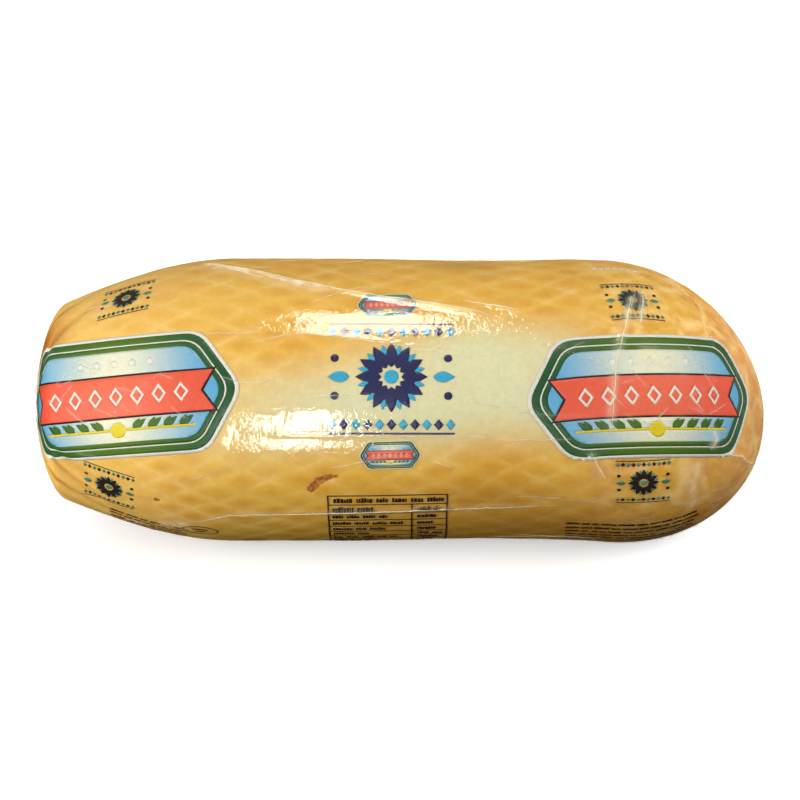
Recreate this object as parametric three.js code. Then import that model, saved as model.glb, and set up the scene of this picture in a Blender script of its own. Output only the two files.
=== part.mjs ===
// A smoked scamorza log, wrapped tight in clear film, as one closed solid out to the film.
// Millimetres, +Z up. The log lies along X on a flattened underside: its blunt, gathered end
// is at -X and its rounded end at +X. The origin is on the floor, below the middle of the log.

import * as THREE from "three";
import { ParametricGeometry } from "three/addons/geometries/ParametricGeometry.js";

// Whole log
const LENGTH = 282; // end to end, along X
const WIDTH = 113.5; // across the thick middle, along Y
const HEIGHT = 109; // the thick middle's height before it settled
const SETTLE = 2.5; // how far the weight has flattened the underside

// Slight waist in the middle
const WAIST_DIP = 0.017; // share of the section lost at the waist
const WAIST_FROM_BLUNT_END = 172;
const WAIST_SPREAD = 35;

// Blunt end: a low cap, then a shoulder that widens to the full section
const CAP_DEPTH = 11;
const SHOULDER_LENGTH = 77.5;
const SHOULDER_START = 0.617; // share of the full section at the very end
const END_DROP = 0.8; // how low the very end hangs
const END_DROP_SPREAD = 40;

// Rounded end: half an ellipsoid whose tip hangs a little low
const DOME_DEPTH = 61.7;
const DROP_LENGTH = 78;
const TIP_DROP = 8;

// Pleats where the blunt end was gathered: the angle of each from the front, upwards, where it is
// deepest, and how it slants from there, in degrees a millimetre
const PLEATS = [
  [-76, -0.9], [-58, -1.1], [-39, -1.2], [-21, -1.35], [-3, -2.2], [5.4, -1.8], [65, 2.5],
  [90, 1.9], [118, 1.4], [150, 0.8], [186, 0.3], [222, -0.3], [254, -0.7],
];
const PLEAT_DEPTH = 1.6;
const PLEAT_HALF_WIDTH = 4; // degrees
const PLEAT_PEAK = 9; // distance from the end where the pleats are deepest
const PLEAT_START = 2; // distance from the end where the slant begins

// Fineness of the faceted surface
const FACETS_AROUND = 108;
const FACETS_ALONG = 50;

const CHEESE_COLOUR = 0xe0b060;

const bell = (distance, spread) => Math.exp(-((distance / spread) ** 2));

// Share of the full section at a distance from the blunt end
function sectionShare(fromEnd) {
  const capRun = Math.min(fromEnd / CAP_DEPTH, 1);
  const cap = Math.sqrt(1 - (1 - capRun) ** 2);
  const shoulderRun = Math.min(fromEnd / SHOULDER_LENGTH, 1);
  const shoulder = SHOULDER_START + (1 - SHOULDER_START) * Math.sin((shoulderRun * Math.PI) / 2);
  const domeRun = Math.max((fromEnd - LENGTH + DOME_DEPTH) / DOME_DEPTH, 0);
  const dome = Math.sqrt(Math.max(1 - domeRun ** 2, 0));
  const waist = 1 - WAIST_DIP * bell(fromEnd - WAIST_FROM_BLUNT_END, WAIST_SPREAD);
  return cap * shoulder * dome * waist;
}

// Height of the section's centre, which falls a little towards both ends
function centreHeight(fromEnd) {
  const run = Math.max((fromEnd - LENGTH + DROP_LENGTH) / DROP_LENGTH, 0);
  return HEIGHT / 2 - SETTLE - TIP_DROP * run ** 1.5 - END_DROP * bell(fromEnd, END_DROP_SPREAD);
}

// Depth of the gathered pleats, deepest round the blunt end's rim and fading along the shoulder
function pleatDepth(fromEnd, angle) {
  const run = fromEnd / PLEAT_PEAK;
  const reach = run * Math.exp(1 - run);
  const drift = PLEAT_PEAK * Math.log(Math.max(fromEnd, PLEAT_START) / PLEAT_PEAK);
  const halfWidth = THREE.MathUtils.degToRad(PLEAT_HALF_WIDTH);
  let groove = 0;
  for (const [degrees, slant] of PLEATS) {
    const gap = angle - THREE.MathUtils.degToRad(degrees + slant * drift);
    const turn = Math.atan2(Math.sin(gap), Math.cos(gap));
    groove += bell(turn, halfWidth);
  }
  return PLEAT_DEPTH * reach * Math.min(groove, 1);
}

// A point of the surface: along runs from the blunt end to the tip, around from the front downwards
function surfacePoint(around, along, target) {
  const fromEnd = (LENGTH * (1 - Math.cos(along * Math.PI))) / 2;
  const angle = -around * 2 * Math.PI;
  const share = sectionShare(fromEnd);
  const pleat = Math.min(pleatDepth(fromEnd, angle), (share * HEIGHT) / 4);
  const halfWidth = (share * WIDTH) / 2 - pleat;
  const halfHeight = (share * HEIGHT) / 2 - pleat;
  const height = centreHeight(fromEnd) + halfHeight * Math.sin(angle);
  target.set(fromEnd - LENGTH / 2, -halfWidth * Math.cos(angle), Math.max(height, 0));
}

function wrappedScamorza() {
  const geometry = new ParametricGeometry(surfacePoint, FACETS_AROUND, FACETS_ALONG);
  const material = new THREE.MeshStandardMaterial({ color: CHEESE_COLOUR, roughness: 0.25, metalness: 0 });
  const mesh = new THREE.Mesh(geometry, material);
  mesh.name = "wrapped_scamorza";
  return mesh;
}

const scamorza = new THREE.Group();
scamorza.add(wrappedScamorza());

export default scamorza;
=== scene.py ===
# The scamorza log dressed: smoked cheese with net marks, a clear film with folds, and its print.
import math
from collections import namedtuple
from functools import partial

import bpy
import numpy as np
from mathutils.geometry import delaunay_2d_cdt
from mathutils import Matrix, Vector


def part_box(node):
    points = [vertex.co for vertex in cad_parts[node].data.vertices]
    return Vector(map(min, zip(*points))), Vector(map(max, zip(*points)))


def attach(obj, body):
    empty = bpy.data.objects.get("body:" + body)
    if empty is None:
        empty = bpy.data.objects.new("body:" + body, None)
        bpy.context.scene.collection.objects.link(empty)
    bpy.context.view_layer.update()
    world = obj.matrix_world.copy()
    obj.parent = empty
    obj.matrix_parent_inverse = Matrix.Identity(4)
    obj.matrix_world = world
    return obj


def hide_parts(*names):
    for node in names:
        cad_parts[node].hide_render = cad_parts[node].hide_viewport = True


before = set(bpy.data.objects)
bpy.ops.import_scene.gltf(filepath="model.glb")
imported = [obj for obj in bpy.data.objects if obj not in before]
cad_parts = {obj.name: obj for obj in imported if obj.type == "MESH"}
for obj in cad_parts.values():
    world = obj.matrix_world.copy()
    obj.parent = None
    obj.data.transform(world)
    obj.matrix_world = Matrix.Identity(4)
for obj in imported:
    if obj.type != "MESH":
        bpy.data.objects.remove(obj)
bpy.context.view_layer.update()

NODE = "wrapped_scamorza"
BODY = "root"
MM = 0.001

# Form of the log, with the solid's own sizes
low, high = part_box(NODE)
SETTLE = 2.5 * MM
LENGTH = high.x - low.x
WIDTH = high.y - low.y
HEIGHT = high.z - low.z + SETTLE
WAIST_DIP = 0.017
WAIST_FROM_BLUNT_END = 172 * MM
WAIST_SPREAD = 35 * MM
CAP_DEPTH = 11 * MM
SHOULDER_LENGTH = 77.5 * MM
SHOULDER_START = 0.617
END_DROP = 0.8 * MM
END_DROP_SPREAD = 40 * MM
DOME_DEPTH = 61.7 * MM
DROP_LENGTH = 78 * MM
TIP_DROP = 8 * MM
DROP_POWER = 1.5

# Pleats of the gathered end: the angle of each where it is deepest, and its slant in degrees a millimetre
PLEATS = (
    (-76, -0.9), (-58, -1.1), (-39, -1.2), (-21, -1.35), (-3, -2.2), (5.4, -1.8), (65, 2.5),
    (90, 1.9), (118, 1.4), (150, 0.8), (186, 0.3), (222, -0.3), (254, -0.7),
)
PLEAT_DEPTH = 1.6 * MM
PLEAT_HALF_WIDTH = 4
PLEAT_PEAK = 9 * MM
PLEAT_START = 2 * MM

# Layers, as depths below the film where it lies flat
INK_DEPTH = 0.06 * MM
INK_THICKNESS = 0.03 * MM
CHEESE_DEPTH = 0.16 * MM

# Fineness of the meshes
RINGS, SIDES = 300, 330
MERIDIAN_POINTS = 4001
PRINT_SPACING = 1.1
CREST_STEP = 1.2 * MM
LEAST_CREST_STEPS = 4
CREST_SIDES = 6

# The film's slack, and the crests along its folds
SLACK = 0.04 * MM
FOLD_TAPER = 0.18
CREST_HALF_WIDTH = 0.26 * MM
CREST_HALF_HEIGHT = 0.2 * MM
CREST_SHARES = (0.5, 1.0)
CREST_TAPER = 0.6
CREST_WANDER = 0.1 * MM

# Net marks and scars pressed into the rind
NET_PITCH = 20 * MM
NET_MESHES_AROUND = 34
NET_KNOT_RUN = 95.5 * MM
NET_KNOT_ANGLE = math.radians(3.2)
NET_DEPTH = 0.18 * MM
NET_LINES, NET_KNOTS = 0.6, 0.4
NET_SHARPNESS = 8
NET_LOOSENING = 1.2
NET_ON_SHOULDER = 0.25
NET_LOST_ON_DOME = 0.75
NET_LOST_WHERE_PALE = 0.65
SCAR_DEPTH = 0.5 * MM

# Stretches of the log over which a look comes or goes, as runs from the blunt end's middle
NET_START = (18 * MM, 45 * MM)
NET_FULL = (50 * MM, 95 * MM)
NET_LOOSE = (235 * MM, 300 * MM)
NET_END = (255 * MM, 300 * MM)
BLUNT_END = (60 * MM, 130 * MM)
DOME = (225 * MM, 275 * MM)
SMOKED_END = (262 * MM, 310 * MM)
HAZY_END = (285 * MM, 325 * MM)
END_HAZE = 0.1

# Guards against dividing by nothing
TINY = 1e-12
LEAST_RADIUS = 1 * MM

rng = np.random.default_rng(7)
scene = bpy.context.scene


def srgb(red, green, blue):
    """A linear colour from the 0 to 255 values of a screen colour."""
    channels = np.array([red, green, blue]) / 255
    linear = np.where(channels <= 0.04045, channels / 12.92, ((channels + 0.055) / 1.055) ** 2.4)
    return (*linear.tolist(), 1.0)


def bell(distance, spread):
    return np.exp(-((distance / spread) ** 2))


def ramp(value, start, end):
    """A smooth step from 0 at start to 1 at end."""
    run = np.clip((value - start) / (end - start), 0, 1)
    return run * run * (3 - 2 * run)


def turn_between(angle, other):
    """The signed angle from other to angle, the short way round."""
    return np.mod(angle - other + np.pi, 2 * np.pi) - np.pi


# Surface of the log: run is the way along it from the blunt end's middle, angle the turn up from the front

def section_share(from_end):
    cap_run = np.clip(from_end / CAP_DEPTH, 0, 1)
    cap = np.sqrt(1 - (1 - cap_run) ** 2)
    shoulder_run = np.clip(from_end / SHOULDER_LENGTH, 0, 1)
    shoulder = SHOULDER_START + (1 - SHOULDER_START) * np.sin(shoulder_run * np.pi / 2)
    dome_run = np.clip((from_end - LENGTH + DOME_DEPTH) / DOME_DEPTH, 0, 1)
    dome = np.sqrt(1 - dome_run**2)
    waist = 1 - WAIST_DIP * bell(from_end - WAIST_FROM_BLUNT_END, WAIST_SPREAD)
    return cap * shoulder * dome * waist


def centre_height(from_end):
    run = np.clip((from_end - LENGTH + DROP_LENGTH) / DROP_LENGTH, 0, 1)
    drop = TIP_DROP * run**DROP_POWER + END_DROP * bell(from_end, END_DROP_SPREAD)
    return HEIGHT / 2 - SETTLE - drop


def pleat_depth(from_end, angle):
    run = from_end / PLEAT_PEAK
    reach = run * np.exp(1 - run)
    drift = PLEAT_PEAK / MM * np.log(np.maximum(from_end, PLEAT_START) / PLEAT_PEAK)
    groove = np.zeros_like(angle)
    for degrees, slant in PLEATS:
        turn = turn_between(angle, np.radians(degrees + slant * drift))
        groove = groove + bell(turn, math.radians(PLEAT_HALF_WIDTH))
    return PLEAT_DEPTH * reach * np.minimum(groove, 1)


def meridian():
    """Distances along the surface from the blunt end's middle, and the stations along X they belong to."""
    turn = np.linspace(0, np.pi, MERIDIAN_POINTS)
    stations = LENGTH * (1 - np.cos(turn)) / 2
    radii = section_share(stations) * HEIGHT / 2
    steps = np.hypot(np.diff(stations), np.diff(radii))
    return np.concatenate([[0], np.cumsum(steps)]), stations


RUNS, STATIONS = meridian()
RUN_END = RUNS[-1]


def station_at(run):
    return np.interp(run, RUNS, STATIONS)


def radius_at(run):
    return section_share(station_at(run)) * (WIDTH + HEIGHT) / 4


def bare_points(run, angle):
    """Points of the plain log, as the solid has them."""
    from_end = station_at(run)
    share = section_share(from_end)
    pleat = np.minimum(pleat_depth(from_end, angle), share * HEIGHT / 4)
    y = -(share * WIDTH / 2 - pleat) * np.cos(angle)
    z = centre_height(from_end) + (share * HEIGHT / 2 - pleat) * np.sin(angle)
    return np.stack([from_end - LENGTH / 2, y, np.maximum(z, 0)], axis=-1)


def outward(run, angle):
    """Unit normals of the plain log."""
    step = 0.2 * MM
    turn = 0.004
    along = bare_points(run + step, angle) - bare_points(run - step, angle)
    around = bare_points(run, angle + turn) - bare_points(run, angle - turn)
    normal = np.cross(along, around)
    size = np.linalg.norm(normal, axis=-1, keepdims=True)
    return normal / np.maximum(size, TINY)


def lifted(run, angle, lift):
    """Points held off the plain log by lift, and never below the floor."""
    points = bare_points(run, angle) + outward(run, angle) * lift[..., None]
    points[..., 2] = np.maximum(points[..., 2], 0)
    return points


# Folds of the film, each along points of (run in mm, angle in degrees)

# Height and width are in mm, lean is one flank's width over the other's, haze and crest run from 0 to 1
Fold = namedtuple("Fold", "path height width lean haze crest")

MAIN_FOLDS = (
    Fold(((94, 105), (108, 95.4), (120, 90.4), (132, 84.3), (151, 78.2)), 0.8, 1.2, 2.6, 0.75, 0.55),
    Fold(((98, 100.5), (110, 93), (122, 86)), 0.3, 0.8, 1.0, 0.3, 0.5),
    Fold(((118, 90.5), (128, 84.7), (140, 80.2)), 0.3, 0.8, 1.0, 0.3, 0.6),
    Fold(
        ((132, 84.3), (151, 78.2), (168, 74.2), (187, 70.9), (201, 67.7), (208, 64.8)),
        0.6, 0.8, 1.8, 0.3, 0.7,
    ),
    Fold(((195.5, 73.3), (206, 70.9), (217, 68.2)), 0.3, 0.8, 1.2, 0.2, 0.6),
    Fold(((181.7, 49.8), (188.6, 52.6)), 0.15, 0.8, 1.0, 0.1, 0.5),
    Fold(((89, -30), (109, -19.5), (147, -18.6), (180, -17.4), (232, -15)), 0.8, 1.0, 1.8, 0.15, 0.6),
    Fold(((80, -35), (87, -32), (94, -28)), 0.2, 3.0, 1.0, 0.4, 0.0),
    Fold(((113, 18.5), (147, 17.2), (209, 16.3)), 0.4, 0.9, 1.0, 0.1, 0.4),
    Fold(((111, 21), (108.9, 17.4), (107.4, 14.3), (106.4, 10)), 0.14, 1.8, 1.2, 0.12, 0.0),
    Fold(((133.2, 27), (132, 23.5), (130.8, 20)), 0.1, 0.9, 1.0, 0.0, 0.0),
    Fold(((113, 52), (136, 57), (158, 54.5), (180, 50.5), (205, 47.5)), 0.2, 0.9, 1.0, 0.1, 0.35),
    Fold(((261.2, 83), (257.5, 69), (254.5, 58.5), (251, 44), (249, 16)), 0.6, 1.3, 1.5, 0.25, 0.5),
    # The next two folds' haze is raised to paint the bright highlight streak down the badge, over the
    # film's own milkiness.
    Fold(((263.4, 82), (262.2, 71), (260.7, 62.4)), 0.5, 1.1, 1.2, 0.5, 0.8),
    Fold(((258.6, 77), (256, 65), (255, 59.4)), 0.5, 1.1, 1.2, 0.45, 0.8),
    Fold(((258, 50.5), (269.5, 49.6), (281, 50.3)), 0.25, 3.5, 1.3, 0.22, 0.0),
    Fold(((242, 11), (244.5, 5.5), (248, -1)), 0.6, 1.5, 1.5, 0.2, 0.6),
    Fold(((296, 9), (306, 3.5), (320, -19)), 0.7, 1.2, 1.5, 0.25, 0.7),
    Fold(((289.5, 21.3), (291.2, 16.3), (288.5, 11.7)), 0.6, 1.6, 1.0, 0.3, 0.6),
    Fold(((284, 10), (282, -2.5), (282.6, -22)), 0.4, 2.6, 1.0, 0.35, 0.0),
)

CREASE_WAYS = (-0.5, -0.2, 0.2, 0.5)
CREASE_WIDTH = 1.0
CREASE_HAZE = 0.05
LEAST_CREASE_RADIUS = 5 * MM


def crease(run, angle, slant, height, length, bend, crest_strength):
    """A short bent fold about a place, slanting from the log's length by an angle in degrees."""
    turn = math.radians(slant)
    radius = max(float(radius_at(run * MM)), LEAST_CREASE_RADIUS) / MM
    path = []
    for way in CREASE_WAYS:
        along = way * length
        aside = bend * length * (CREASE_WAYS[-1] ** 2 - way**2)
        along_run = along * math.cos(turn) - aside * math.sin(turn)
        along_turn = along * math.sin(turn) + aside * math.cos(turn)
        path.append((run + along_run, angle + math.degrees(along_turn / radius)))
    return Fold(tuple(path), height, CREASE_WIDTH, lean=1.0, haze=CREASE_HAZE, crest=crest_strength)


CreaseZone = namedtuple("CreaseZone", "count runs slant_spread heights lengths crests")

# The barrel, the dome, the shoulder and the dome's tip
CREASE_ZONES = (
    CreaseZone(60, (95, 245), 14, (0.05, 0.18), (10, 34), (0.05, 0.3)),
    CreaseZone(70, (255, 328), 50, (0.12, 0.4), (5, 16), (0.04, 0.16)),
    CreaseZone(34, (24, 80), 30, (0.08, 0.25), (6, 18), (0.05, 0.3)),
    CreaseZone(60, (288, 338), 30, (0.1, 0.3), (4, 12), (0.04, 0.14)),
)
CREASE_BEND = 0.25


def scattered_creases():
    """Fine creases: long ones along the barrel, short ones on the two ends where the film gathers."""
    for zone in CREASE_ZONES:
        for _ in range(zone.count):
            run = rng.uniform(*zone.runs)
            angle = rng.uniform(-180, 180)
            slant = rng.normal(0, zone.slant_spread)
            height = rng.uniform(*zone.heights)
            length = rng.uniform(*zone.lengths)
            bend = rng.normal(0, CREASE_BEND)
            yield crease(run, angle, slant, height, length, bend, rng.uniform(*zone.crests))


LABEL_PLACES = ((66, 36), (262, 40), (66, 216), (262, 220))
LABEL_CREASES = 16
LABEL_RUNS = (-30, 30)
LABEL_TURNS = (-16, 16)
LABEL_SLANTS = (-32, 32)
LABEL_SPREAD = 10
LABEL_HEIGHT = 0.06
LABEL_LENGTHS = (5, 14)
LABEL_CRESTS = (0.12, 0.4)
SMALL_BEND = 0.15


def label_creases():
    """Thin crossing creases on the labels of both sides, where the ink makes the film stiff."""
    for label_run, label_angle in LABEL_PLACES:
        for _ in range(LABEL_CREASES):
            run = label_run + rng.uniform(*LABEL_RUNS)
            angle = label_angle + rng.uniform(*LABEL_TURNS)
            slant = rng.choice(LABEL_SLANTS) + rng.normal(0, LABEL_SPREAD)
            length = rng.uniform(*LABEL_LENGTHS)
            bend = rng.normal(0, SMALL_BEND)
            yield crease(run, angle, slant, LABEL_HEIGHT, length, bend, rng.uniform(*LABEL_CRESTS))


# The runs here are where a gather starts
GATHERS = CreaseZone(40, (5, 13), 12, (0.15, 0.4), (8, 20), (0.05, 0.25))
GATHER_TURN_SPREAD = 4


def gather_creases():
    """Creases that run out from the middle of the blunt end, where the film is drawn together."""
    for step in range(GATHERS.count):
        angle = 360 * step / GATHERS.count + rng.normal(0, GATHER_TURN_SPREAD)
        length = rng.uniform(*GATHERS.lengths)
        run = length / 2 + rng.uniform(*GATHERS.runs)
        slant = rng.normal(0, GATHERS.slant_spread)
        height = rng.uniform(*GATHERS.heights)
        bend = rng.normal(0, SMALL_BEND)
        yield crease(run, angle, slant, height, length, bend, rng.uniform(*GATHERS.crests))


FOLDS = (*MAIN_FOLDS, *scattered_creases(), *label_creases(), *gather_creases())


def fold_path(fold):
    """Runs and angles of a fold's points, and the way along the fold to each."""
    run, angle = (np.array(fold.path) * (MM, math.pi / 180)).T
    lengths = np.hypot(np.diff(run), np.diff(angle) * radius_at(run[1:]))
    return run, angle, np.concatenate([[0], np.cumsum(lengths)])


def fold_profile(fold, run, angle, radius):
    """How strongly a fold stands at each place, from 0 to 1."""
    path_run, path_angle, ways = fold_path(fold)
    turn = turn_between(angle, path_angle.mean()) + path_angle.mean()
    best = np.full(run.shape, np.inf)
    side = np.zeros(run.shape)
    way = np.zeros(run.shape)
    for i in range(len(ways) - 1):
        edge_run = path_run[i + 1] - path_run[i]
        edge_turn = (path_angle[i + 1] - path_angle[i]) * radius
        off_run = run - path_run[i]
        off_turn = (turn - path_angle[i]) * radius
        square = np.maximum(edge_run**2 + edge_turn**2, TINY)
        share = np.clip((off_run * edge_run + off_turn * edge_turn) / square, 0, 1)
        gap = np.hypot(off_run - share * edge_run, off_turn - share * edge_turn)
        near = gap < best
        best = np.where(near, gap, best)
        side = np.where(near, edge_run * off_turn - edge_turn * off_run, side)
        way = np.where(near, (ways[i] + share * (ways[i + 1] - ways[i])) / ways[-1], way)
    width = fold.width * MM * np.where(side > 0, 1, fold.lean)
    taper = ramp(way, 0, FOLD_TAPER) * (1 - ramp(way, 1 - FOLD_TAPER, 1))
    return bell(best, width) * taper


# Waves over the log, each with its length in mm along it and its turns around it
Wave = namedtuple("Wave", "share length turns phase")

SLACK_WAVES = (Wave(0.4, 3.1, 5, 0.6), Wave(0.3, 4.7, -14, 1.9), Wave(0.3, 2.3, 19, 4.4))
DRIFT_WAVES = (Wave(0.5, 17, 2, 1), Wave(0.3, 8.5, -3, 2.1), Wave(0.2, 29, 5, -1.3))


def swell(waves, run, angle, phase=1.0):
    """A sum of waves, between about -1 and 1."""
    return sum(
        wave.share * np.sin(run / (wave.length * MM) + wave.turns * angle + wave.phase * phase)
        for wave in waves
    )


def film_state(run, angle):
    """The film's lift off the plain log, and its haze, at each place."""
    lift = SLACK * (1 + swell(SLACK_WAVES, run, angle))
    haze = END_HAZE * ramp(run, *HAZY_END)
    radius = np.maximum(radius_at(run), LEAST_RADIUS)
    for fold in FOLDS:
        profile = fold_profile(fold, run, angle, radius)
        lift = np.maximum(lift, SLACK + profile * fold.height * MM)
        haze = np.maximum(haze, profile * fold.haze)
    return lift, haze


# Looks of the cheese by place

# Run and half sizes are in mm, the angle in degrees
Spot = namedtuple("Spot", "run angle half_length half_height strength")

SCARS = (
    Spot(139.8, -6.2, 1.4, 1.4, 1.0),
    Spot(141.2, -4.2, 1.7, 1.7, 1.0),
    Spot(143.4, -2.0, 2.1, 1.6, 1.0),
    Spot(146.2, -0.6, 2.0, 1.1, 1.0),
    Spot(149.0, -0.4, 1.7, 0.6, 0.9),
    Spot(82, -15.3, 1.4, 1.0, 0.8),
    Spot(205, 150, 2.6, 1.4, 0.9),
    Spot(207.5, 151.5, 2.0, 0.9, 0.9),
    Spot(120, 228, 1.5, 1.5, 0.7),
)
STAINS = (
    Spot(195.5, 101, 13, 6, 0.7),
    Spot(318, 30, 12, 16, 0.5),
    Spot(300, -25, 9, 14, 0.5),
    Spot(150, 190, 16, 8, 0.5),
)
# Darker brown spots: those on the blunt end's rim, on the upper front at run 122, low down on the front
# and right, and on the underside are painted shade; the others are smoke-browned rind.
SMOKE_AND_SHADE_SPOTS = (
    Spot(0, 0, 18, 500, 0.55),
    Spot(32, 70, 11, 14, 1.6),
    Spot(29, 200, 9, 14, 0.9),
    Spot(122, 52, 32, 13, 0.22),
    Spot(228, -32, 55, 20, 0.9),
    Spot(208, -12, 34, 9, 0.7),
    Spot(285, -40, 40, 30, 0.6),
    Spot(180, 130, 60, 14, 0.5),
    Spot(110, 250, 50, 18, 0.8),
)


def spots(listed, run, angle):
    mask = np.zeros(run.shape)
    radius = radius_at(run)
    for spot in listed:
        across = turn_between(angle, math.radians(spot.angle)) * radius / (spot.half_height * MM)
        along = (run - spot.run * MM) / (spot.half_length * MM)
        mask = np.maximum(mask, spot.strength * np.exp(-(across**2) - along**2))
    return mask


# Rind that the smoke reached least: a slanting patch on the front and another on the back
PalePatch = namedtuple("PalePatch", "angle start end")

PALE_PATCHES = (PalePatch(27, 70, 252), PalePatch(196, 60, 230))
PALE_RISE = 90
PALE_FALL = 30
PALE_NARROW = 60
PALE_HALF_TURN = 12
PALE_WIDENING = 7
PALE_CLIMB = 12
PALE_WANDER = 0.06
PALE_EDGE = (-0.16, 0.28)


def pale_zone(run, angle):
    """How pale the rind is, from 0 to 1: each patch widens and climbs on its way to the dome."""
    mask = np.zeros(run.shape)
    for patch in PALE_PATCHES:
        rise = (patch.start * MM, (patch.start + PALE_RISE) * MM)
        fall = ((patch.end - PALE_FALL) * MM, patch.end * MM)
        widening = ramp(run, (patch.start + PALE_NARROW) * MM, fall[0])
        wander = PALE_WANDER * swell(DRIFT_WAVES, run, angle, patch.angle)
        half = np.radians(PALE_HALF_TURN + PALE_WIDENING * widening) + wander
        away = np.abs(turn_between(angle, np.radians(patch.angle + PALE_CLIMB * widening)))
        along = ramp(run, *rise) * (1 - ramp(run, *fall))
        mask = np.maximum(mask, along * (1 - ramp(away, half + PALE_EDGE[0], half + PALE_EDGE[1])))
    return mask


NetDrift = namedtuple("NetDrift", "slow slow_phase quick quick_phase")

ALONG_DRIFT = NetDrift(1.6 * MM, 0.4, 1.1 * MM, 1.1)
AROUND_DRIFT = NetDrift(0.017, 2.9, 0.013, 5.2)
QUICK_RUN, QUICK_TURN = 2.5, 3


def net_drift(drift, run, angle):
    """How far the net wanders from regular diamonds, along the log or around it."""
    slow = swell(DRIFT_WAVES, run, angle, drift.slow_phase)
    quick = swell(DRIFT_WAVES, QUICK_RUN * run, QUICK_TURN * angle, drift.quick_phase)
    return drift.slow * slow + drift.quick * quick


def net_coordinates(run, angle):
    """Two coordinates that count the net's cords, one for each way they run: both are whole at a knot."""
    loose = 1 + NET_LOOSENING * ramp(run, *NET_LOOSE)
    along = (run - NET_KNOT_RUN + loose * net_drift(ALONG_DRIFT, run, angle)) / NET_PITCH
    turn = angle - NET_KNOT_ANGLE + loose * net_drift(AROUND_DRIFT, run, angle)
    around = turn * NET_MESHES_AROUND / (2 * np.pi)
    return along + around, along - around


def net_strength(run, angle):
    """How clear the net's marks are: faint on both ends and where pale, none in the blunt end's middle."""
    blunt_side = (NET_ON_SHOULDER + (1 - NET_ON_SHOULDER) * ramp(run, *NET_FULL)) * ramp(run, *NET_START)
    reach = blunt_side * (1 - NET_LOST_ON_DOME * ramp(run, *NET_END))
    return reach * (1 - NET_LOST_WHERE_PALE * pale_zone(run, angle))


def cheese_lift(run, angle):
    """The rind's lift off the plain log: under the film, and lower in the net's grooves and the scars."""
    forth, back = net_coordinates(run, angle)
    cords = np.cos(np.pi * forth) ** 2, np.cos(np.pi * back) ** 2
    lines = np.maximum(*cords) ** NET_SHARPNESS
    groove = (NET_LINES * lines + NET_KNOTS * cords[0] * cords[1]) * net_strength(run, angle)
    return -CHEESE_DEPTH - NET_DEPTH * groove - SCAR_DEPTH * spots(SCARS, run, angle)


# Meshes

def closed_grid(rings, sides):
    """A closed mesh over the log: run and angle of its vertices, its faces, and the corners' angles."""
    step = 2 * np.pi / sides
    first = step * np.arange(sides)
    ring_runs = RUN_END * np.arange(1, rings) / rings
    run, angle = (grid.ravel() for grid in np.meshgrid(ring_runs, first, indexing="ij"))
    blunt_pole, tip_pole = len(run), len(run) + 1
    last = len(run) - sides
    around = [(side, (side + 1) % sides) for side in range(sides)]
    faces = [(blunt_pole, a, b) for a, b in around]
    for here in range(0, last, sides):
        faces += [(here + a, here + sides + a, here + sides + b, here + b) for a, b in around]
    faces += [(last + a, tip_pole, last + b) for a, b in around]
    blunt, ring, tip = (
        (first[:, None] + step * np.array(shares)).ravel()
        for shares in ((0.5, 0, 1), (0, 0, 1, 1), (0, 0.5, 1))
    )
    run = np.concatenate([run, [0, RUN_END]])
    angle = np.concatenate([angle, [0, 0]])
    return run, angle, faces, np.concatenate([blunt, np.tile(ring, rings - 2), tip])


def add_piece(name, points, faces, material):
    mesh = bpy.data.meshes.new(name)
    mesh.from_pydata(points.tolist(), [], faces)
    mesh.materials.append(material)
    mesh.shade_smooth()
    piece = bpy.data.objects.new(name, mesh)
    scene.collection.objects.link(piece)
    return piece


def add_values(piece, name, values):
    attribute = piece.data.attributes.new(name, "FLOAT", "POINT")
    attribute.data.foreach_set("value", values.astype(np.float32))


def add_corner_map(piece, name, first, second):
    layer = piece.data.uv_layers.new(name=name)
    layer.data.foreach_set("uv", np.stack([first, second], axis=-1).astype(np.float32).ravel())


def dress(piece):
    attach(piece, BODY)
    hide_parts(NODE)


def make_cheese(material):
    run, angle, faces, corner_angles = closed_grid(RINGS, SIDES)
    piece = add_piece("cheese", lifted(run, angle, cheese_lift(run, angle)), faces, material)
    corner_runs = run[np.concatenate([np.array(face) for face in faces])]
    add_corner_map(piece, "Net", *net_coordinates(corner_runs, corner_angles))
    for name, values in (
        ("net_strength", net_strength(run, angle)),
        ("pleat", pleat_depth(station_at(run), angle) / PLEAT_DEPTH),
        ("pale", pale_zone(run, angle)),
        ("scar", spots(SCARS, run, angle)),
        ("stain", spots(STAINS, run, angle)),
        ("smoke_and_shade", spots(SMOKE_AND_SHADE_SPOTS, run, angle)),
        ("end_smoke", ramp(run, *SMOKED_END)),
        ("dome", ramp(run, *DOME)),
        ("blunt_end_light", 1 - ramp(run, *BLUNT_END)),
    ):
        add_values(piece, name, values)
    dress(piece)


def make_film(material):
    run, angle, faces, _ = closed_grid(RINGS, SIDES)
    lift, haze = film_state(run, angle)
    piece = add_piece("film", lifted(run, angle, lift), faces, material)
    add_values(piece, "haze", haze)
    dress(piece)


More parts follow.
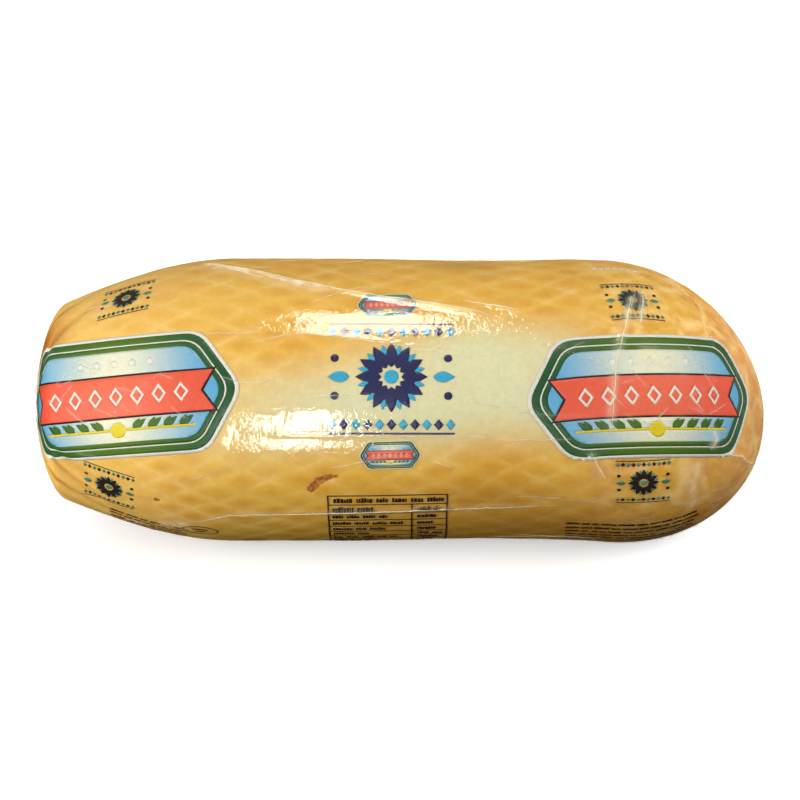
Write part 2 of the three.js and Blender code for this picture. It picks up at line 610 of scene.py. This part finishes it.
def crest(fold):
    """The sharp crest of a fold, a thin pointed rod: run, angle and rise of its points, and its faces."""
    path_run, path_angle, ways = fold_path(fold)
    count = max(int(ways[-1] / CREST_STEP), LEAST_CREST_STEPS)
    stations = np.linspace(0, ways[-1], count + 1)
    run = np.interp(stations, ways, path_run)
    angle = np.interp(stations, ways, path_angle)
    radius = radius_at(run)
    along = np.stack([np.gradient(run), np.gradient(angle) * radius], axis=-1)
    along /= np.linalg.norm(along, axis=-1, keepdims=True)
    arch = np.maximum(np.sin(np.pi * stations / ways[-1]), 0) ** CREST_TAPER
    taper = (arch * rng.uniform(*CREST_SHARES, count + 1))[:, None]
    wander = rng.normal(0, CREST_WANDER, count + 1)[:, None]
    ring = 2 * np.pi * np.arange(CREST_SIDES) / CREST_SIDES
    across = taper * np.cos(ring) * CREST_HALF_WIDTH + wander
    rise = taper * np.sin(ring) * CREST_HALF_HEIGHT
    ring_run = run[:, None] - across * along[:, 1:]
    ring_angle = angle[:, None] + across * along[:, :1] / radius[:, None]
    faces = []
    for step in range(count):
        here, there = step * CREST_SIDES, (step + 1) * CREST_SIDES
        for side in range(CREST_SIDES):
            following = (side + 1) % CREST_SIDES
            faces.append((here + side, here + following, there + following, there + side))
    faces.append(tuple(reversed(range(CREST_SIDES))))
    faces.append(tuple(range(count * CREST_SIDES, (count + 1) * CREST_SIDES)))
    return ring_run.ravel(), ring_angle.ravel(), rise.ravel(), faces


def joined(parts):
    """The faces of several meshes as one, from the number of vertices and the faces of each."""
    faces = []
    first = 0
    for count, part_faces in parts:
        faces += [tuple(index + first for index in face) for face in part_faces]
        first += count
    return faces


def make_crests(material):
    creased = [fold for fold in FOLDS if fold.crest]
    crests = [crest(fold) for fold in creased]
    run, angle, rise = (np.concatenate([one[i] for one in crests]) for i in range(3))
    faces = joined((len(crest_run), crest_faces) for crest_run, _, _, crest_faces in crests)
    lift, _ = film_state(run, angle)
    piece = add_piece("film_creases", lifted(run, angle, lift + rise), faces, material)
    add_values(piece, "haze", np.repeat([fold.crest for fold in creased], [len(one[0]) for one in crests]))
    dress(piece)


# Print: shapes in mm on the flat film, painted in order, the last one on top

Shape = namedtuple("Shape", "ink outline")
Place = namedtuple("Place", "art run angle tilt scale")

CORNER_POINTS = 6
PETAL_POINTS = 13
PETAL_FULLNESS = 0.8
HEXAGON_SLOPE = 0.62
MERGE_DISTANCE = 1e-4


def spaced(corners):
    """A closed outline with points no further apart than the print's spacing."""
    outline = []
    for start, end in zip(corners, np.roll(corners, -1, axis=0)):
        count = max(int(math.ceil(np.hypot(*(end - start)) / PRINT_SPACING)), 1)
        outline += [start + (end - start) * i / count for i in range(count)]
    return np.array(outline)


def rounded(corners, radius):
    """A closed outline with each corner cut by a smooth curve that starts radius away from it."""
    corners = np.array(corners, float)
    outline = []
    for before, corner, after in zip(np.roll(corners, 1, axis=0), corners, np.roll(corners, -1, axis=0)):
        start = corner + (before - corner) * radius / np.hypot(*(before - corner))
        end = corner + (after - corner) * radius / np.hypot(*(after - corner))
        for t in np.linspace(0, 1, CORNER_POINTS):
            outline.append((1 - t) ** 2 * start + 2 * t * (1 - t) * corner + t**2 * end)
    return spaced(np.array(outline))


def ellipse(x, y, half_width, half_height, sides=36):
    turn = 2 * np.pi * np.arange(sides) / sides
    return np.stack([x + half_width * np.cos(turn), y + half_height * np.sin(turn)], axis=-1)


def bar(x, y, width, height):
    corners = np.array([(-1, -1), (1, -1), (1, 1), (-1, 1)]) * (width / 2, height / 2) + (x, y)
    return spaced(corners)


def lozenge(x, y, width, height):
    corners = np.array([(-1, 0), (0, -1), (1, 0), (0, 1)]) * (width / 2, height / 2) + (x, y)
    return spaced(corners)


def turned(points, degrees):
    cos, sin = math.cos(math.radians(degrees)), math.sin(math.radians(degrees))
    return points @ np.array([(cos, sin), (-sin, cos)])


def petal(x, y, direction, start, end, width):
    """A leaf from start to end away from (x, y), pointing in a direction in degrees."""
    share = np.linspace(0, 1, PETAL_POINTS)
    half = width / 2 * np.sin(np.pi * share**PETAL_FULLNESS)
    along = start + (end - start) * share
    outline = np.concatenate([np.stack([along, -half], -1), np.stack([along, half], -1)[-2:0:-1]])
    return turned(outline, direction) + (x, y)


def stretched_hexagon(half_length, half_height, corner):
    waist = half_length - half_height * HEXAGON_SLOPE
    corners = [
        (-half_length, 0), (-waist, -half_height), (waist, -half_height),
        (half_length, 0), (waist, half_height), (-waist, half_height),
    ]
    return rounded(corners, corner)


def banner(half_length, half_height, notch):
    corners = [
        (-half_length, -half_height), (half_length, -half_height), (half_length - notch, 0),
        (half_length, half_height), (-half_length, half_height), (notch - half_length, 0),
    ]
    return spaced(np.array(corners, float))


def dot(x, y, radius, sides):
    return ellipse(x, y, radius, radius, sides)


# Fields of the badge from the outermost in: ink, half length, half height and how far its corners are cut
BADGE_FIELDS = (
    ("white", 48, 23.5, 6),
    ("green", 46.4, 22.2, 5.5),
    ("white", 43.2, 19.6, 5),
    ("green", 42.6, 19.1, 5),
    ("sky", 40.2, 17.2, 4.5),
)
# Leaves at each place on the twig: how far they lean from upright, their length and their width
TWIG_LEAVES = ((55, 6.5, 2.6), (35, 5, 2.2))


def twig():
    """A yellow stem with leaves on both sides of a round middle."""
    y, length, thickness = -12.5, 60, 0.9
    pitch, places = 6, 4
    for side in (-1, 1):
        for step in range(1, places + 1):
            for lean, reach, width in TWIG_LEAVES:
                yield Shape("green", petal(side * pitch * step, y, 90 - side * lean, 0, reach, width))
    yield Shape("yellow", bar(0, y, length, thickness))
    yield Shape("yellow", dot(0, y, 3, 20))


def badge():
    """A six-sided field of sky in a green frame, with a twig, a plain banner with lozenges, and dots."""
    pitch = 8.4
    dot_pitch, dot_y = 7, 12.6
    for ink, *sizes in BADGE_FIELDS:
        yield Shape(ink, stretched_hexagon(*sizes))
    yield from twig()
    yield Shape("black", banner(38.6, 8.1, 5))
    yield Shape("coral", banner(37.4, 7.4, 4.9))
    for step in range(-3, 4):
        yield Shape("white", lozenge(pitch * step, 0, 5.6, 7.4))
        yield Shape("coral", lozenge(pitch * step, 0, 3.4, 4.5))
    for step in range(-2, 3):
        yield Shape("white", dot(dot_pitch * step, dot_y, 1.3, 14))


def rosette(outer, inner):
    """A twelve-leafed rosette between two rows of lozenges, with a leaf and two dots on each side."""
    leaves = 12
    turn = 360 / leaves
    pitch, lozenge_y, rule_y = 4.3, 17.6, 20.9
    side_leaf_x, dot_x, dot_y = 15.2, 20.6, 7
    for step in range(leaves):
        yield Shape(outer, petal(0, 0, turn * step, 3.6, 13.2, 4.6))
        yield Shape(inner, petal(0, 0, turn * (step + 0.5), 8.6, 12.6, 1.9))
    yield Shape(inner, dot(0, 0, 2.6, 20))
    for row in (-1, 1):
        for step in range(-5, 6):
            ink = inner if step % 2 else outer
            yield Shape(ink, lozenge(pitch * step, lozenge_y * row, 3.5, 4.2))
        yield Shape(outer, bar(0, rule_y * row, 46, 0.7))
    for side in (-1, 1):
        yield Shape(inner, petal(side * side_leaf_x, 0, 90 - 90 * side, 0, 8, 4.2))
        for row in (1, -1):
            yield Shape(outer, dot(side * dot_x, row * dot_y, 1.5, 16))


# Rows of strokes, with their sizes as shares of the row's height
WORD_LENGTHS = (1.2, 3.6)
WORD_GAP = 0.5
STROKE_WIDTHS = (0.2, 0.42)
STROKE_HEIGHTS = (0.65, 1)
STROKE_GAP = 0.12


def strokes(left, right, y, height):
    """A row of short upright strokes in groups as long as words are."""
    x = left
    while x < right - height:
        word_end = min(x + height * rng.uniform(*WORD_LENGTHS), right)
        while x < word_end:
            width = height * rng.uniform(*STROKE_WIDTHS)
            tall = height * rng.uniform(*STROKE_HEIGHTS)
            yield Shape("black", bar(x + width / 2, y + (tall - height) / 2, width, tall))
            x += width + STROKE_GAP * height
        x += WORD_GAP * height


def table():
    """A ruled panel of two columns under a heading."""
    half_width, rows, pitch, line = 22, 9, 4.8, 0.5
    divide, margin, indent = 9, 1.5, 2
    heading_height, text_height = 2.6, 2.3
    first_ends, second_ends = (-6, 7), (16, 20.5)
    top = rows * pitch / 2
    for row in range(rows + 1):
        yield Shape("black", bar(0, top - pitch * row, 2 * half_width + line, line))
    for x, reach in ((-half_width, rows), (half_width, rows), (divide, rows - 1)):
        yield Shape("black", bar(x, -top + pitch * reach / 2, line, pitch * reach))
    yield from strokes(indent - half_width, half_width - indent, top - pitch / 2, heading_height)
    for row in range(1, rows):
        y = top - pitch * (row + 0.5)
        yield from strokes(margin - half_width, rng.uniform(*first_ends), y, text_height)
        yield from strokes(divide + indent, rng.uniform(*second_ends), y, text_height)


def small_print(width, rows):
    """Rows of strokes, the last one short."""
    pitch, height, last_share = 3.3, 1.6, 0.3
    for row in range(rows):
        reach = width / 2 * (1 if row < rows - 1 else last_share)
        yield from strokes(-width / 2, reach, (rows / 2 - row) * pitch, height)


def oval_mark():
    """An oval ring around two short lines."""
    half_width, half_height, line = 7, 4, 0.5
    yield Shape("black", ellipse(0, 0, half_width, half_height))
    yield Shape(None, ellipse(0, 0, half_width - line, half_height - line))
    yield Shape("black", bar(0, 1, 6, 1))
    yield Shape("black", bar(0, -1, 4, 1))


def pale_dashes():
    pitch, width, height = 2.6, 1.9, 1.5
    for step in range(-3, 4):
        yield Shape("white", bar(pitch * step, 0, width, height))


BRIGHT_ROSETTE = partial(rosette, "navy", "cyan")
DARK_ROSETTE = partial(rosette, "black", "teal")
SMALL_BADGE = 0.24
SMALL_ROSETTE = 0.45

# Each art's middle as a run in mm and an angle in degrees, with its tilt in degrees
PLACES = (
    Place(badge, 68, 32.2, 4, 1),
    Place(badge, 265, 34.2, 6, 1),
    Place(BRIGHT_ROSETTE, 169.5, 39.5, 0, 1),
    Place(badge, 168, 70.5, 2, SMALL_BADGE),
    Place(badge, 169, 9, 1, SMALL_BADGE),
    Place(DARK_ROSETTE, 69, 83.5, -3, SMALL_ROSETTE),
    Place(DARK_ROSETTE, 259, 75, 10, SMALL_ROSETTE),
    Place(DARK_ROSETTE, 63, -13.6, -6, SMALL_ROSETTE),
    Place(DARK_ROSETTE, 262, -1.8, 3, SMALL_ROSETTE),
    Place(table, 168, -31.8, 0, 1),
    Place(partial(small_print, width=52, rows=6), 261, -36.8, 2, 1),
    Place(partial(small_print, width=30, rows=5), 76, -43.8, -3, 1),
    Place(oval_mark, 97, -35, 0, 1),
    Place(pale_dashes, 254, 97, 4, 1),
)
PRINT_SIDES = (0, 180)


def inside(outline, points):
    """Which points lie inside a closed outline."""
    x, y = points[:, :1], points[:, 1:]
    x0, y0 = outline.T
    x1, y1 = np.roll(outline, -1, axis=0).T
    crosses = (y0 > y) != (y1 > y)
    rise = np.where(y1 == y0, TINY, y1 - y0)
    return (crosses & (x < x0 + (y - y0) * (x1 - x0) / rise)).sum(axis=1) % 2 == 1


def triangulated(shapes):
    """One flat mesh of all the shapes, and the ink that shows on each of its triangles."""
    everything = np.concatenate([shape.outline for shape in shapes])
    low_corner, high_corner = everything.min(axis=0), everything.max(axis=0)
    xs = np.arange(low_corner[0], high_corner[0], PRINT_SPACING)
    ys = np.arange(low_corner[1], high_corner[1], PRINT_SPACING)
    grid = np.stack(np.meshgrid(xs, ys), axis=-1).reshape(-1, 2)
    filled = np.zeros(len(grid), bool)
    for shape in shapes:
        filled |= inside(shape.outline, grid)
    points = [tuple(point) for point in np.concatenate([everything, grid[filled]])]
    edges = []
    first = 0
    for shape in shapes:
        count = len(shape.outline)
        edges += [(first + i, first + (i + 1) % count) for i in range(count)]
        first += count
    flat, _, triangles, _, _, _ = delaunay_2d_cdt(points, edges, [], 0, MERGE_DISTANCE)
    flat = np.array(flat)
    triangles = np.array(triangles)
    middles = flat[triangles].mean(axis=1)
    inks = np.full(len(triangles), "", dtype=object)
    for shape in shapes:
        inks[inside(shape.outline, middles)] = shape.ink or ""
    return flat, triangles, inks


def slab(points, below, triangles):
    """A thin closed sheet between two layers of points: its vertices and faces, and the points used."""
    used = np.unique(triangles)
    renumbered = np.full(len(points), -1)
    renumbered[used] = np.arange(len(used))
    top = renumbered[triangles]
    bottom = top + len(used)
    directed = {(a, b) for face in top.tolist() for a, b in zip(face, face[1:] + face[:1])}
    rim = [(a, b) for a, b in directed if (b, a) not in directed]
    faces = top.tolist() + bottom[:, ::-1].tolist()
    faces += [(b, a, a + len(used), b + len(used)) for a, b in sorted(rim)]
    return np.concatenate([points[used], below[used]]), faces, used


def print_parts():
    """For each ink, the vertices, faces and art coordinates of every patch of it."""
    parts = {}
    for side in PRINT_SIDES:
        for place in PLACES:
            shapes = [Shape(shape.ink, shape.outline * place.scale) for shape in place.art()]
            flat, triangles, inks = triangulated(shapes)
            along, across = (turned(flat, place.tilt) * MM).T
            run = place.run * MM + along
            angle = math.radians(place.angle + side) + across / radius_at(run)
            lift, _ = film_state(run, angle)
            points = lifted(run, angle, lift - INK_DEPTH)
            below = lifted(run, angle, lift - INK_DEPTH - INK_THICKNESS)
            for ink in sorted(set(inks) - {""}):
                vertices, faces, used = slab(points, below, triangles[inks == ink])
                art = np.concatenate([flat[used], flat[used]]) / place.scale
                parts.setdefault(ink, []).append((vertices, faces, art))
    return parts


def make_print(materials):
    for ink, patches in sorted(print_parts().items()):
        faces = joined((len(vertices), patch_faces) for vertices, patch_faces, _ in patches)
        points = np.concatenate([vertices for vertices, _, _ in patches])
        art = np.concatenate([art for _, _, art in patches])
        piece = add_piece(f"print_{ink}", points, faces, materials[ink])
        corners = np.concatenate([np.array(face) for face in faces])
        add_corner_map(piece, "Art", art[corners, 0], art[corners, 1])
        dress(piece)


# Materials

# Screen colours of the rind; a few are painted shade or painted light, as noted at each
RIND = {
    "gold": (222, 168, 60),
    "light gold": (231, 184, 77),
    # Lighter, yellower rind towards the blunt end: partly the rind's own colour, partly painted light from
    # the left.
    "blunt end": (238, 195, 108),
    "mesh heart": (212, 150, 48),
    # The two pleat colours are painted shade in the grooves of the gathered end, darkest at their bottoms.
    "pleat": (206, 142, 58),
    "pleat groove shade": (178, 112, 46),
    "smoked end": (232, 156, 64),
    "net mark": (243, 214, 146),
    "blush": (224, 152, 92),
    "dark mottle": (202, 138, 56),
    "light mottle": (246, 208, 130),
    "pucker": (248, 214, 138),
    # Smoke brown, also used for painted shade on the rim, the lower side and the underside.
    "smoke and shade": (172, 106, 30),
    "pale patch": (213, 209, 165),
    "stain": (150, 112, 66),
    "scar": (150, 82, 28),
    "light scar": (190, 126, 58),
}

# An ink's colour in the middle of its art, its colour at the edge, and how far away that is in mm
Ink = namedtuple("Ink", "middle edge reach")

INKS = {
    "white": Ink((222, 218, 203), (216, 212, 197), 40),
    "green": Ink((80, 114, 32), (30, 82, 42), 44),
    "sky": Ink((222, 220, 190), (90, 162, 198), 38),
    "coral": Ink((228, 104, 72), (222, 84, 56), 36),
    "navy": Ink((36, 38, 84), (34, 34, 78), 40),
    "cyan": Ink((46, 160, 190), (52, 154, 184), 40),
    "teal": Ink((74, 140, 122), (66, 128, 112), 40),
    "black": Ink((46, 34, 30), (40, 30, 28), 40),
    "yellow": Ink((218, 196, 36), (212, 190, 42), 40),
}
INK_ROUGHNESS = 0.4

CLEAN_FILM = (1.0, 0.98, 0.94, 1.0)
# The milky film's yellow is painted light: the cheese's colour bounced back through the haze.
MILKY_FILM_AND_PAINTED_BOUNCE = (1.0, 0.92, 0.62, 1.0)
FILM_IOR = 1.5
FILM_BUMP = 0.05 * MM
RIND_BUMP = 0.25 * MM
RIND_GLOW = (6 * MM, 3 * MM, 1.2 * MM)
MARK_LINE_POWER = 9.0
MARK_KNOT_POWER = 1.5
MARK_SHARE = 0.6
HEART_POWER = 0.7
# How tightly the painted shade gathers at the bottom of the pleat grooves
PLEAT_GROOVE_SHADE_POWER = 6.0
PUCKER_SCALE = 62.0
PUCKER_DRIFT = (0.014,) * 3
PUCKER_DRIFT_SCALE = 60.0


class Nodes:
    """The nodes of a new material or world, and short ways to add to them."""

    def __init__(self, owner, shader):
        owner.use_nodes = True
        self.owner = owner
        self.tree = owner.node_tree
        self.shader = self.tree.nodes[shader]

    def add(self, kind, inputs=None, **settings):
        node = self.tree.nodes.new(kind)
        for key, value in settings.items():
            setattr(node, key, value)
        for key, value in (inputs or {}).items():
            self.feed(node.inputs[key], value)
        return node

    def feed(self, socket, value):
        if isinstance(value, bpy.types.NodeSocket):
            self.tree.links.new(value, socket)
        else:
            socket.default_value = value

    def set(self, **values):
        """Sets the shader's sockets, named with underscores for spaces."""
        for key, value in values.items():
            self.feed(self.shader.inputs[key.replace("_", " ")], value)

    def math(self, operation, first, second=0.0, clamp=False):
        node = self.add("ShaderNodeMath", {0: first, 1: second}, operation=operation, use_clamp=clamp)
        return node.outputs[0]

    def times(self, first, second):
        return self.math("MULTIPLY", first, second)

    def between(self, value, low_value, high_value, low_out=0.0, high_out=1.0):
        inputs = {"Value": value, 1: low_value, 2: high_value, 3: low_out, 4: high_out}
        return self.add("ShaderNodeMapRange", inputs, interpolation_type="SMOOTHSTEP").outputs[0]

    def mix(self, share, first, second, blend="MIX"):
        inputs = {0: share, 6: first, 7: second}
        return self.add("ShaderNodeMix", inputs, data_type="RGBA", blend_type=blend).outputs[2]

    def attribute(self, name):
        return self.add("ShaderNodeAttribute", attribute_name=name).outputs["Fac"]

    def scaled(self, name, share):
        """An attribute of the mesh times a share."""
        return self.times(self.attribute(name), share)

    def flat_map(self, name):
        """The two coordinates of a flat map of the mesh."""
        spot = self.add("ShaderNodeUVMap", uv_map=name).outputs[0]
        axes = self.add("ShaderNodeSeparateXYZ", {0: spot})
        return axes.outputs["X"], axes.outputs["Y"]

    def place(self):
        return self.add("ShaderNodeTexCoord").outputs["Object"]

    def noise(self, scale, detail, roughness=0.55, distortion=0.0):
        inputs = {"Scale": scale, "Detail": detail, "Roughness": roughness, "Distortion": distortion}
        inputs["Vector"] = self.place()
        return self.add("ShaderNodeTexNoise", inputs).outputs["Fac"]

    def bump(self, height, depth):
        inputs = {"Height": height, "Distance": depth, "Strength": 1.0}
        return self.add("ShaderNodeBump", inputs).outputs["Normal"]

    def patches(self, scale, detail, reach, share=(0.0, 1.0)):
        """Noise that runs over the share where its value crosses the reach."""
        return self.between(self.noise(scale, detail), *reach, *share)

    def shaded(self, colour, share):
        """A colour times a share."""
        grey = self.add("ShaderNodeCombineColor", {0: share, 1: share, 2: share}).outputs[0]
        return self.mix(1.0, colour, grey, "MULTIPLY")


def material_nodes(name):
    return Nodes(bpy.data.materials.new(name), "Principled BSDF")


def net_marks(nodes):
    """The net's pale knots and lines, and the dark hearts of its meshes, each from 0 to 1."""
    cords = []
    gaps = []
    for count in nodes.flat_map("Net"):
        wave = nodes.math("COSINE", nodes.times(count, math.pi))
        cords.append(nodes.times(wave, wave))
        gaps.append(nodes.math("SUBTRACT", 1.0, cords[-1]))
    strength = nodes.attribute("net_strength")
    lines = nodes.math("POWER", nodes.math("MAXIMUM", *cords), MARK_LINE_POWER)
    knots = nodes.math("POWER", nodes.times(*cords), MARK_KNOT_POWER)
    pale = nodes.times(nodes.math("ADD", lines, knots), MARK_SHARE)
    pale = nodes.times(pale, nodes.patches(90, 2, (0.38, 0.65), (0.1, 1.0)))
    hearts = nodes.math("POWER", nodes.times(*gaps), HEART_POWER)
    hearts = nodes.times(hearts, nodes.patches(40, 2, (0.35, 0.65), (0.4, 1.2)))
    return nodes.times(pale, strength), nodes.times(hearts, strength)


def puckers(nodes):
    """Irregular pale lines on the dome, where the net was drawn together, from 0 to 1."""
    wander = {"Vector": nodes.place(), "Scale": PUCKER_DRIFT_SCALE, "Detail": 2.0}
    drift = nodes.add("ShaderNodeTexNoise", wander).outputs["Color"]
    shift = {0: drift, 1: PUCKER_DRIFT, 2: nodes.place()}
    place = nodes.add("ShaderNodeVectorMath", shift, operation="MULTIPLY_ADD").outputs[0]
    cells = {"Vector": place, "Scale": PUCKER_SCALE}
    edge = nodes.add("ShaderNodeTexVoronoi", cells, feature="DISTANCE_TO_EDGE").outputs["Distance"]
    patchy = nodes.patches(70, 2, (0.38, 0.62), (0.25, 1.0))
    lines = nodes.times(nodes.between(edge, 0.0, 0.2, 1.0, 0.0), patchy)
    return nodes.times(lines, nodes.attribute("dome"))


def dome_tints(nodes):
    """The rind's uneven colours on the dome: blushes, mottling and the pale puckers."""
    mottle = nodes.noise(scale=130, detail=4, roughness=0.6)
    return (
        (nodes.scaled("dome", nodes.patches(45, 3, (0.5, 0.62), (0.0, 0.5))), "blush"),
        (nodes.scaled("dome", nodes.between(mottle, 0.5, 0.68, 0.0, 0.6)), "dark mottle"),
        (nodes.scaled("dome", nodes.between(mottle, 0.32, 0.5, 0.4, 0.0)), "light mottle"),
        (nodes.times(puckers(nodes), 0.72), "pucker"),
    )


def cheese_material():
    """Smoked rind: tints laid over gold one by one, among them painted shade in the pleats and on the
    shaded sides and painted light on the blunt end, ragged scars, and a fine grain.
    """
    nodes = material_nodes("smoked_rind")
    marks, hearts = net_marks(nodes)
    slow = nodes.noise(scale=28, detail=3)
    fine = nodes.noise(scale=420, detail=6, roughness=0.65)
    colour = nodes.mix(nodes.between(slow, 0.3, 0.7), srgb(*RIND["gold"]), srgb(*RIND["light gold"]))
    for share, tint in (
        # Lighter towards the blunt end, partly painted light from the left.
        (nodes.scaled("blunt_end_light", 0.7), "blunt end"),
        (nodes.times(hearts, 0.55), "mesh heart"),
        # Painted shade in the pleat grooves, deepest at their bottoms.
        (nodes.scaled("pleat", 0.45), "pleat"),
        (nodes.math("POWER", nodes.attribute("pleat"), PLEAT_GROOVE_SHADE_POWER), "pleat groove shade"),
        (nodes.scaled("end_smoke", 0.65), "smoked end"),
        (nodes.times(marks, 0.34), "net mark"),
        *dome_tints(nodes),
        # Smoke-browned spots, and painted shade on the rim, the lower side and the underside.
        (nodes.scaled("smoke_and_shade", 0.65), "smoke and shade"),
        (nodes.scaled("pale", nodes.between(slow, 0.1, 0.6, 0.8, 1.0)), "pale patch"),
        (nodes.scaled("stain", 0.55), "stain"),
    ):
        colour = nodes.mix(share, colour, srgb(*RIND[tint]))
    streaky = nodes.patches(900, 3, (0.4, 0.6))
    streaks = nodes.mix(streaky, srgb(*RIND["scar"]), srgb(*RIND["light scar"]))
    ragged = nodes.math("ADD", nodes.attribute("scar"), nodes.patches(600, 2, (0.3, 0.7), (-0.1, 0.1)))
    colour = nodes.mix(nodes.between(ragged, 0.25, 0.42), colour, streaks)
    nodes.set(
        Base_Color=nodes.shaded(colour, nodes.between(fine, 0.3, 0.75, 0.94, 1.04)),
        Roughness=0.6,
        Specular_IOR_Level=0.2,
        Subsurface_Weight=0.12,
        Subsurface_Radius=RIND_GLOW,
        Subsurface_Scale=1.0,
        Normal=nodes.bump(nodes.noise(scale=160, detail=5, roughness=0.6), RIND_BUMP),
    )
    return nodes.owner


def film_material():
    """Clear film: mirrors like gloss where it is clean, and scatters a milky white where it is creased or
    hazy, tinted yellow there as painted light bounced from the cheese.
    """
    nodes = material_nodes("clear_film")
    crinkle = nodes.noise(scale=850, detail=1.0, roughness=0.4, distortion=0.6)
    crumple = nodes.noise(scale=260, detail=1.0, roughness=0.4, distortion=0.4)
    height = nodes.math("ADD", nodes.times(crumple, 2.0), crinkle)
    normal = nodes.bump(height, FILM_BUMP)
    shine = nodes.add("ShaderNodeFresnel", {"IOR": FILM_IOR, "Normal": normal}).outputs[0]
    haze = nodes.attribute("haze")
    shine = nodes.math("MINIMUM", shine, nodes.between(haze, 0.05, 0.3, 0.1, 0.03))
    veil = nodes.times(haze, nodes.patches(240, 3, (0.35, 0.65), (0.5, 1.0)))
    cover = nodes.math("ADD", shine, veil, clamp=True)
    nodes.set(
        Base_Color=nodes.mix(nodes.between(haze, 0.02, 0.15), CLEAN_FILM, MILKY_FILM_AND_PAINTED_BOUNCE),
        Metallic=nodes.math("DIVIDE", shine, cover),
        Roughness=nodes.between(haze, 0.02, 0.3, 0.05, 0.35),
        Alpha=cover,
        Normal=normal,
    )
    return nodes.owner


def ink_material(name, ink):
    """An ink that runs from one colour in the middle of its art to another at both sides."""
    nodes = material_nodes(f"{name}_ink")
    across, _ = nodes.flat_map("Art")
    away = nodes.between(nodes.math("ABSOLUTE", across), 0.0, ink.reach)
    colour = nodes.mix(away, srgb(*ink.middle), srgb(*ink.edge))
    grain = nodes.patches(700, 3, (0.3, 0.7), (0.95, 1.03))
    nodes.set(Base_Color=nodes.shaded(colour, grain), Roughness=INK_ROUGHNESS)
    return nodes.owner


def ink_materials():
    return {name: ink_material(name, ink) for name, ink in INKS.items()}


def floor_material():
    nodes = material_nodes("pale_floor")
    white = (0.98, 0.98, 0.98, 1.0)
    nodes.set(Base_Color=white, Roughness=0.7, Emission_Color=white, Emission_Strength=0.4)
    return nodes.owner


# Stage, light and camera

FLOOR_HALF = 8.0
FLOOR_DROP = 0.2 * MM
VIEW_ELEVATION = 30
VIEW_DISTANCE = 780 * MM
VIEW_AIM = (-0.8 * MM, 0.0, 51.6 * MM)
LENS_MM = 90
SENSOR_MM = 36
GLOW_DIRECTION = (0, 0.1, 0.99)
GLOW_REACH = (-0.1, 0.4)
GLOW_STRENGTH = (0.0, 0.66)
MIRRORED_GLOW = 0.12

# Rectangles of light that face the log at x, from an azimuth right of the front: mirrored ones only gleam
Softbox = namedtuple("Softbox", "name x azimuth elevation distance size radiance mirrored")

SOFTBOXES = (
    Softbox("overhead_gleam", -0.009, 0, 92, 0.35, (0.084, 0.105), 15, mirrored=True),
    Softbox("front_gleam", -0.056, 0, 10, 0.45, (0.052, 0.23), 20, mirrored=True),
    Softbox("left_fill", 0, -52, 10, 0.8, (0.5, 0.5), 9.0, mirrored=False),
    Softbox("right_fill", 0, 75, 25, 1.2, (0.8, 0.8), 5.6, mirrored=False),
    Softbox("back_fill", 0, 180, 10, 1.2, (0.8, 0.4), 3.0, mirrored=False),
)


def add_floor():
    corners = np.array([(-1, -1, 0), (1, -1, 0), (1, 1, 0), (-1, 1, 0)]) * FLOOR_HALF
    corners[:, 2] = -FLOOR_DROP
    floor = add_piece("floor", corners, [(0, 1, 2, 3)], floor_material())
    floor.visible_diffuse = False
    floor.visible_glossy = False


def add_softbox(box):
    turn, tilt = math.radians(box.azimuth), math.radians(box.elevation)
    light = bpy.data.lights.new(box.name, "AREA")
    light.shape = "RECTANGLE"
    light.size, light.size_y = box.size
    light.energy = math.pi * box.radiance * light.size * light.size_y
    lamp = bpy.data.objects.new(box.name, light)
    lamp.location = (
        box.x + box.distance * math.cos(tilt) * math.sin(turn),
        -box.distance * math.cos(tilt) * math.cos(turn),
        VIEW_AIM[2] + box.distance * math.sin(tilt),
    )
    lamp.rotation_euler = (math.pi / 2 - tilt, 0, turn)
    lamp.visible_camera = False
    lamp.visible_diffuse = not box.mirrored
    lamp.visible_glossy = box.mirrored
    scene.collection.objects.link(lamp)


def add_studio_glow():
    """A soft glow from above that lights the log but barely mirrors in its film."""
    nodes = Nodes(bpy.data.worlds.new("studio"), "Background")
    direction = nodes.add("ShaderNodeTexCoord").outputs["Generated"]
    facing = nodes.add("ShaderNodeVectorMath", {0: direction, 1: GLOW_DIRECTION}, operation="DOT_PRODUCT")
    glow = nodes.between(facing.outputs["Value"], *GLOW_REACH, *GLOW_STRENGTH)
    mirrored = nodes.add("ShaderNodeLightPath").outputs["Is Glossy Ray"]
    dimming = {0: mirrored, 1: MIRRORED_GLOW - 1, 2: 1.0}
    share = nodes.add("ShaderNodeMath", dimming, operation="MULTIPLY_ADD").outputs[0]
    nodes.set(Color=(1, 1, 1, 1), Strength=nodes.times(glow, share))
    scene.world = nodes.owner


def add_light():
    for box in SOFTBOXES:
        add_softbox(box)
    add_studio_glow()
    scene.view_settings.view_transform = "Standard"


def add_camera():
    tilt = math.radians(VIEW_ELEVATION)
    camera = bpy.data.objects.new("camera", bpy.data.cameras.new("camera"))
    camera.data.lens = LENS_MM
    camera.data.sensor_width = SENSOR_MM
    camera.location = (
        VIEW_AIM[0],
        VIEW_AIM[1] - VIEW_DISTANCE * math.cos(tilt),
        VIEW_AIM[2] + VIEW_DISTANCE * math.sin(tilt),
    )
    camera.rotation_euler = (math.pi / 2 - tilt, 0, 0)
    scene.collection.objects.link(camera)
    scene.camera = camera


add_camera()
add_light()
add_floor()
make_cheese(cheese_material())
clear_film = film_material()
make_film(clear_film)
make_crests(clear_film)
make_print(ink_materials())
